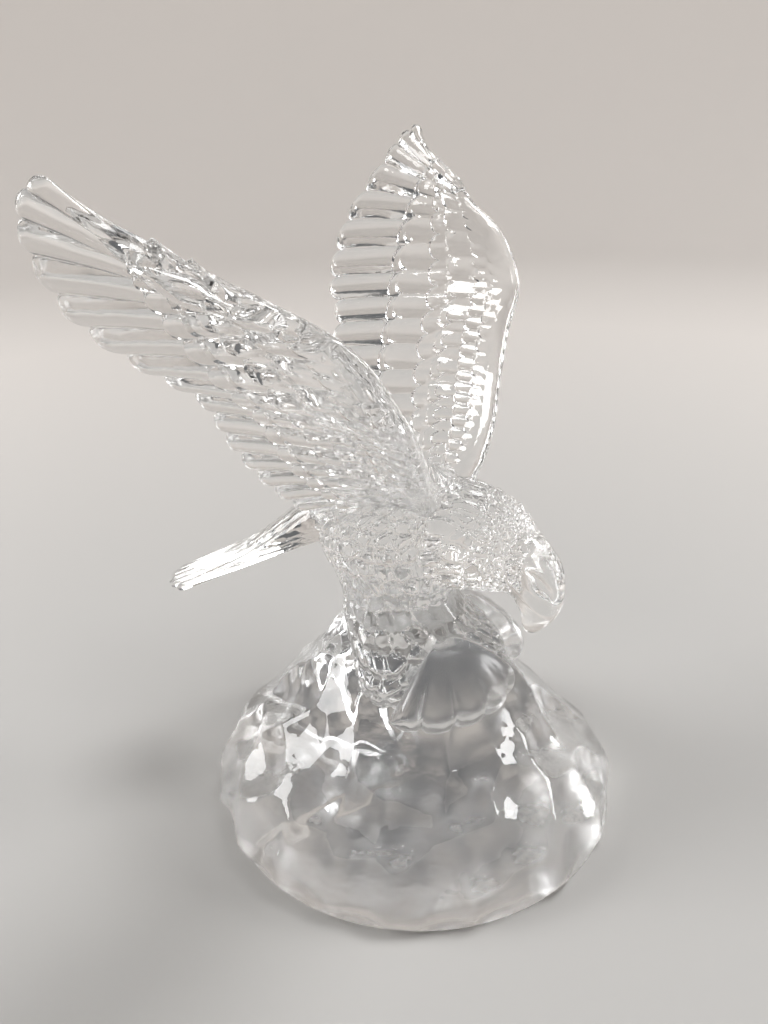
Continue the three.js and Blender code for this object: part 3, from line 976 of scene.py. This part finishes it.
@dataclass
class Foot:
    """A smooth foot like a mitten, whose five toes fan out of the ankle over the rock."""

    ankle: Place = (10, -8, 49)
    claws: Table = (
        (3, -25.5, 40), (9.5, -25.6, 38.4), (15.5, -23.2, 37.2), (20.6, -18.8, 36.6), (24.6, -13, 36.2),
        (27, -6.4, 36.6), (27.4, 0, 38),
    )
    toes: int = 5
    cells: int = 9
    levels: int = 22
    reach_from: float = 0.05
    arch: float = 6.0
    half: Pair = (6.0, 4.3)
    crease: float = 0.6
    scallop: float = 0.05
    edge_half: float = 0.15
    end_round: float = 0.2
    root_level: float = 0.02
    root_round: float = 0.25
    side_round: float = 0.5
    fall: float = 2.6
    creases_from: Pair = (0.45, 0.85)

    def build(self, side: Side) -> bpy.types.Object:
        """Spread a thick fan from the ankle to the curve through the claws.

        Toes are parabolas by way of the point half-way, raised by the arch, and the creases
        between them deepen towards the claws.

        Args:
            side: which foot.

        Returns:
            The foot.
        """
        level = np.sin(np.linspace(0, np.pi / 2, self.levels))
        u, level = np.meshgrid(np.linspace(0, 1, self.toes * self.cells + 1), level, indexing="ij")
        x = 2 * np.mod(u * self.toes, 1) - 1
        s = mix(self.reach_from, 1.0, level) - self.scallop * level**4 * arc(x)
        ankle = side.place(self.ankle)
        claw = curve_at(side.place(self.claws), u)
        bow = (ankle + claw) / 2 + np.array([0.0, 0.0, self.arch])
        middle = parabola(ankle, bow, claw, s[..., None])
        normals = unit(np.cross(np.gradient(middle, axis=0), np.gradient(middle, axis=1)))
        near_root = (level + self.root_level) / self.root_round
        ends = quarter(np.minimum((1 - level) / self.end_round, near_root))
        sides = quarter(np.minimum(u, 1 - u) * self.toes / self.side_round)
        ridge = -self.crease * np.abs(x) ** self.fall * smoothstep(*self.creases_from, s)
        half = (mix(*self.half, s) + ridge) * ends * sides
        half = np.maximum(half, self.edge_half)[..., None]
        return sheet_object(f"foot_{side.name}", middle + normals * half, middle - normals * half)


@dataclass(frozen=True)
class CrystalFinish:
    """Clear pressed crystal: polished, with slow ripples, etched feet and a satin underside."""

    tint: Tint = (0.985, 0.985, 0.98, 1.0)
    deep_tint: Tint = (0.965, 0.968, 0.965, 1.0)
    polished: float = 0.015
    satin: float = 0.24
    index: float = 1.53
    tint_scale: float = 260.0 / 6
    ripple_scale: float = 260.0
    ripple_detail: float = 1.0
    ripple_strength: float = 0.12
    ground_height: float = 0.0004
    etched: float = 0.24
    foot_middle: Place = (0.0165, -0.0150, 0.0410)
    foot_radius: float = 0.0135
    foot_fade: float = 0.004

    def material(self) -> bpy.types.Material:
        """Make the material: a plain glass shader whose roughness, tint and ripples vary.

        Roughness is the greater of two masks: satin below the ground height, and etching that
        fades out round each foot's middle.

        Returns:
            The finished material.
        """
        made = bpy.data.materials.new("crystal")
        made.use_nodes = True
        tree = made.node_tree
        place = add_node(tree, "TexCoord", "Object", {})
        split = add_node(tree, "SeparateXYZ", "X", {"Vector": place}).node.outputs
        satin = add_node(tree, "MapRange", "Result", {
            "Value": split["Z"], "From Min": self.ground_height, "From Max": 0.0,
            "To Min": self.polished, "To Max": self.satin,
        })
        outward = add_node(tree, "Math", "Value", {0: split["X"]}, operation="ABSOLUTE")
        mirrored = {"X": outward, "Y": split["Y"], "Z": split["Z"]}
        feet = {0: add_node(tree, "CombineXYZ", "Vector", mirrored), 1: self.foot_middle}
        reach = add_node(tree, "VectorMath", "Value", feet, operation="DISTANCE")
        etched = add_node(tree, "MapRange", "Result", {
            "Value": reach, "From Min": self.foot_radius + self.foot_fade,
            "From Max": self.foot_radius, "To Min": 0.0, "To Max": self.etched,
        }, interpolation_type="SMOOTHSTEP")
        cloud = add_node(tree, "TexNoise", "Fac", {"Scale": self.tint_scale, "Vector": place})
        tints = {"Factor": cloud, "A": self.tint, "B": self.deep_tint}
        waves = {"Scale": self.ripple_scale, "Detail": self.ripple_detail, "Vector": place}
        ripple = {
            "Strength": self.ripple_strength, "Distance": MM,
            "Height": add_node(tree, "TexNoise", "Fac", waves),
        }
        feed(tree.nodes["Principled BSDF"], {
            "Metallic": 0.0, "Transmission Weight": 1.0, "IOR": self.index,
            "Roughness": add_node(tree, "Math", "Value", {0: satin, 1: etched}, operation="MAXIMUM"),
            "Base Color": add_node(tree, "Mix", "Result", tints, data_type="RGBA"),
            "Normal": add_node(tree, "Bump", "Normal", ripple),
        })
        return made


@dataclass
class CrystalEagle:
    """The whole casting: rock, feet, trunk, head, tail and wings as one skin of glass."""

    rock: Rock = field(default_factory=Rock)
    trunk: Trunk = field(default_factory=Trunk)
    head: Head = field(default_factory=Head)
    eye: Eye = field(default_factory=Eye)
    wing: Wing = field(default_factory=Wing)
    tail: Tail = field(default_factory=Tail)
    foot: Foot = field(default_factory=Foot)
    finish: CrystalFinish = field(default_factory=CrystalFinish)
    thumb: Thumb = field(default_factory=Thumb)
    crease_angle: float = math.radians(50)

    def build(self) -> bpy.types.Object:
        """Make every form and join them into one piece.

        Returns:
            The finished figurine.
        """
        parts = [self.rock.build(), self.trunk.build(), self.head.build(), self.tail.build()]
        for side in Side:
            parts += [form.build(side) for form in (self.wing, self.thumb, self.eye, self.foot)]
        figurine = united("crystal_eagle", parts)
        mesh = figurine.data
        mesh.shade_smooth()
        mesh.set_sharp_from_angle(angle=self.crease_angle)
        mesh.materials.clear()
        mesh.materials.append(self.finish.material())
        return figurine


@dataclass(frozen=True)
class Lamp:
    """A square soft light that points at the figurine, by its place, side length and watts."""

    name: str
    place: Place
    side: float
    power: float
    target: Place = (0.0, 0.0, 0.08)

    def build(self) -> None:
        """Hang the light."""
        data = bpy.data.lights.new(self.name, "AREA")
        data.energy = self.power
        data.size = self.side
        made = linked(self.name, data)
        made.location = self.place
        aim = Vector(self.target) - Vector(self.place)
        made.rotation_euler = aim.to_track_quat("-Z", "Y").to_euler()


@dataclass
class Studio:
    """A pale floor with a painted pool of light under the figurine, soft lights and the camera at the
    photograph's angle, in metres.
    """

    lamps: tuple[Lamp, ...] = (
        Lamp("window", (-0.25, 1.0, 0.6), 0.6, 9.5),
        Lamp("ceiling", (0.35, -0.35, 1.15), 0.5, 8.5),
        Lamp("side", (0.35, -1.0, 0.6), 0.3, 3.5),
    )
    floor_radii: Pair = (0.001, 0.3)
    floor_radius: float = 0.9
    wall_radius: float = 1.35
    wall_height: float = 0.95
    floor_sides: int = 96
    sweep_rings: int = 20
    floor_drop: float = 0.00012
    # The first, pale stop under the figurine is painted light: a pool that stands in for the lamp light
    # coming down through the glass.
    floor_tints_with_light_pool: tuple[tuple[float, Tint], ...] = (
        (0.042, (0.78, 0.767, 0.753, 1.0)),
        (0.050, (0.5, 0.49, 0.475, 1.0)),
        (0.12, (0.5, 0.49, 0.475, 1.0)),
        (0.55, (0.71, 0.672, 0.638, 1.0)),
    )
    floor_roughness: float = 0.7
    room_tint: Tint = (0.11, 0.114, 0.12, 1.0)
    camera_place: Place = (-0.1894, -0.04908, 0.17225)
    heading: float = math.radians(16.631)
    pitch: float = math.radians(24.897)
    roll: float = math.radians(1.608)
    focal_pixels: float = 889.28
    tall_pixels: float = 1024.0
    sensor: float = 36.0
    nearest: float = 0.01
    glass_bounces: int = 14

    def floor(self) -> bpy.types.Object:
        """Make the round floor just under the glass, which sweeps up into a wall all round.

        Returns:
            The floor, marked as stage.
        """
        bend = np.linspace(0, np.pi / 2, self.sweep_rings)
        reach = self.wall_radius - self.floor_radius
        sweep = self.floor_radius + reach * np.sin(bend)
        radius = np.concatenate([self.floor_radii, sweep, [self.wall_radius]])
        height = np.concatenate([[0.0, 0.0], reach * (1 - np.cos(bend)), [self.wall_height]])
        radius, turn = ring_grid(radius, self.floor_sides)
        height = np.broadcast_to(height[:, None] - self.floor_drop, turn.shape)
        rings = np.stack([radius * np.cos(turn), radius * np.sin(turn), height], -1)
        at = np.arange(turn.size).reshape(turn.shape)
        turned = np.roll(at, -1, axis=1)
        quads = np.stack([at[:-1], at[1:], turned[1:], turned[:-1]], -1).reshape(-1, 4)
        mesh = bpy.data.meshes.new("floor")
        mesh.from_pydata(rings.reshape(-1, 3).tolist(), [], [at[0].tolist()] + quads.tolist())
        mesh.shade_smooth()
        mesh.materials.append(self.floor_paint_with_light_pool())
        made = linked("floor", mesh)
        return made

    def floor_paint_with_light_pool(self) -> bpy.types.Material:
        """Make the floor's matt paint: pale under the figurine, as a painted pool of light standing in
        for the lamp light that comes down through the glass, greyer round it and pale far off.
        """
        made = bpy.data.materials.new("floor_paint_with_light_pool")
        made.use_nodes = True
        tree = made.node_tree
        place = add_node(tree, "TexCoord", "Object", {})
        distance = add_node(tree, "VectorMath", "Value", {0: place}, operation="LENGTH")
        # Painted light: the ramp is pale under the glass, where the light that passes through it is
        # painted in.
        ramp_with_light_pool = add_node(tree, "ValToRGB", "Color", {"Fac": distance})
        stops = ramp_with_light_pool.node.color_ramp.elements
        while len(stops) < len(self.floor_tints_with_light_pool):
            stops.new(1.0)
        for stop, (reach, tint) in zip(stops, self.floor_tints_with_light_pool):
            stop.position = reach
            stop.color = tint
        feed(tree.nodes["Principled BSDF"], {"Base Color": ramp_with_light_pool, "Roughness": self.floor_roughness})
        return made

    def world(self) -> None:
        """Leave the room above the wall dim, so that the glass has something dark to bend."""
        world = bpy.data.worlds.new("room")
        world.use_nodes = True
        world.node_tree.nodes["Background"].inputs["Color"].default_value = self.room_tint
        bpy.context.scene.world = world

    def camera(self) -> None:
        """Set the camera from its heading, pitch and roll.

        The view runs along (cos a cos p, sin a cos p, -sin p) for heading a and pitch p, and
        the level axes turn about it by the roll.
        """
        ahead = Vector((math.cos(self.heading), math.sin(self.heading), 0.0))
        zenith = Vector((0.0, 0.0, 1.0))
        view = ahead * math.cos(self.pitch) - zenith * math.sin(self.pitch)
        level_up = ahead * math.sin(self.pitch) + zenith * math.cos(self.pitch)
        level_right = Vector((ahead.y, -ahead.x, 0.0))
        right = level_right * math.cos(self.roll) - level_up * math.sin(self.roll)
        upright = level_right * math.sin(self.roll) + level_up * math.cos(self.roll)
        data = bpy.data.cameras.new("camera")
        data.sensor_fit = "VERTICAL"
        data.sensor_height = self.sensor
        data.lens = self.sensor * self.focal_pixels / self.tall_pixels
        data.clip_start = self.nearest
        made = linked("camera", data)
        turned = Matrix((right, upright, -view)).transposed().to_4x4()
        made.matrix_world = Matrix.Translation(self.camera_place) @ turned
        bpy.context.scene.camera = made

    def build(self) -> None:
        """Set up the floor, the room light, the lamps, the camera and the view's tones."""
        scene = bpy.context.scene
        scene.view_settings.view_transform = "Standard"
        scene.cycles.max_bounces = scene.cycles.transmission_bounces = self.glass_bounces
        scene.cycles.glossy_bounces = self.glass_bounces
        self.floor()
        self.world()
        for lamp in self.lamps:
            lamp.build()
        self.camera()


def main() -> None:
    """Build the studio and the figurine, and tie the figurine to the frame."""
    logging.basicConfig(level=logging.INFO, format="%(message)s")
    Studio().build()
    figurine = CrystalEagle().build()
    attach(figurine, "root")
    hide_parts(NODE)
    log.info("%s: %d faces", figurine.name, len(figurine.data.polygons))


if __name__ == "__main__":
    main()
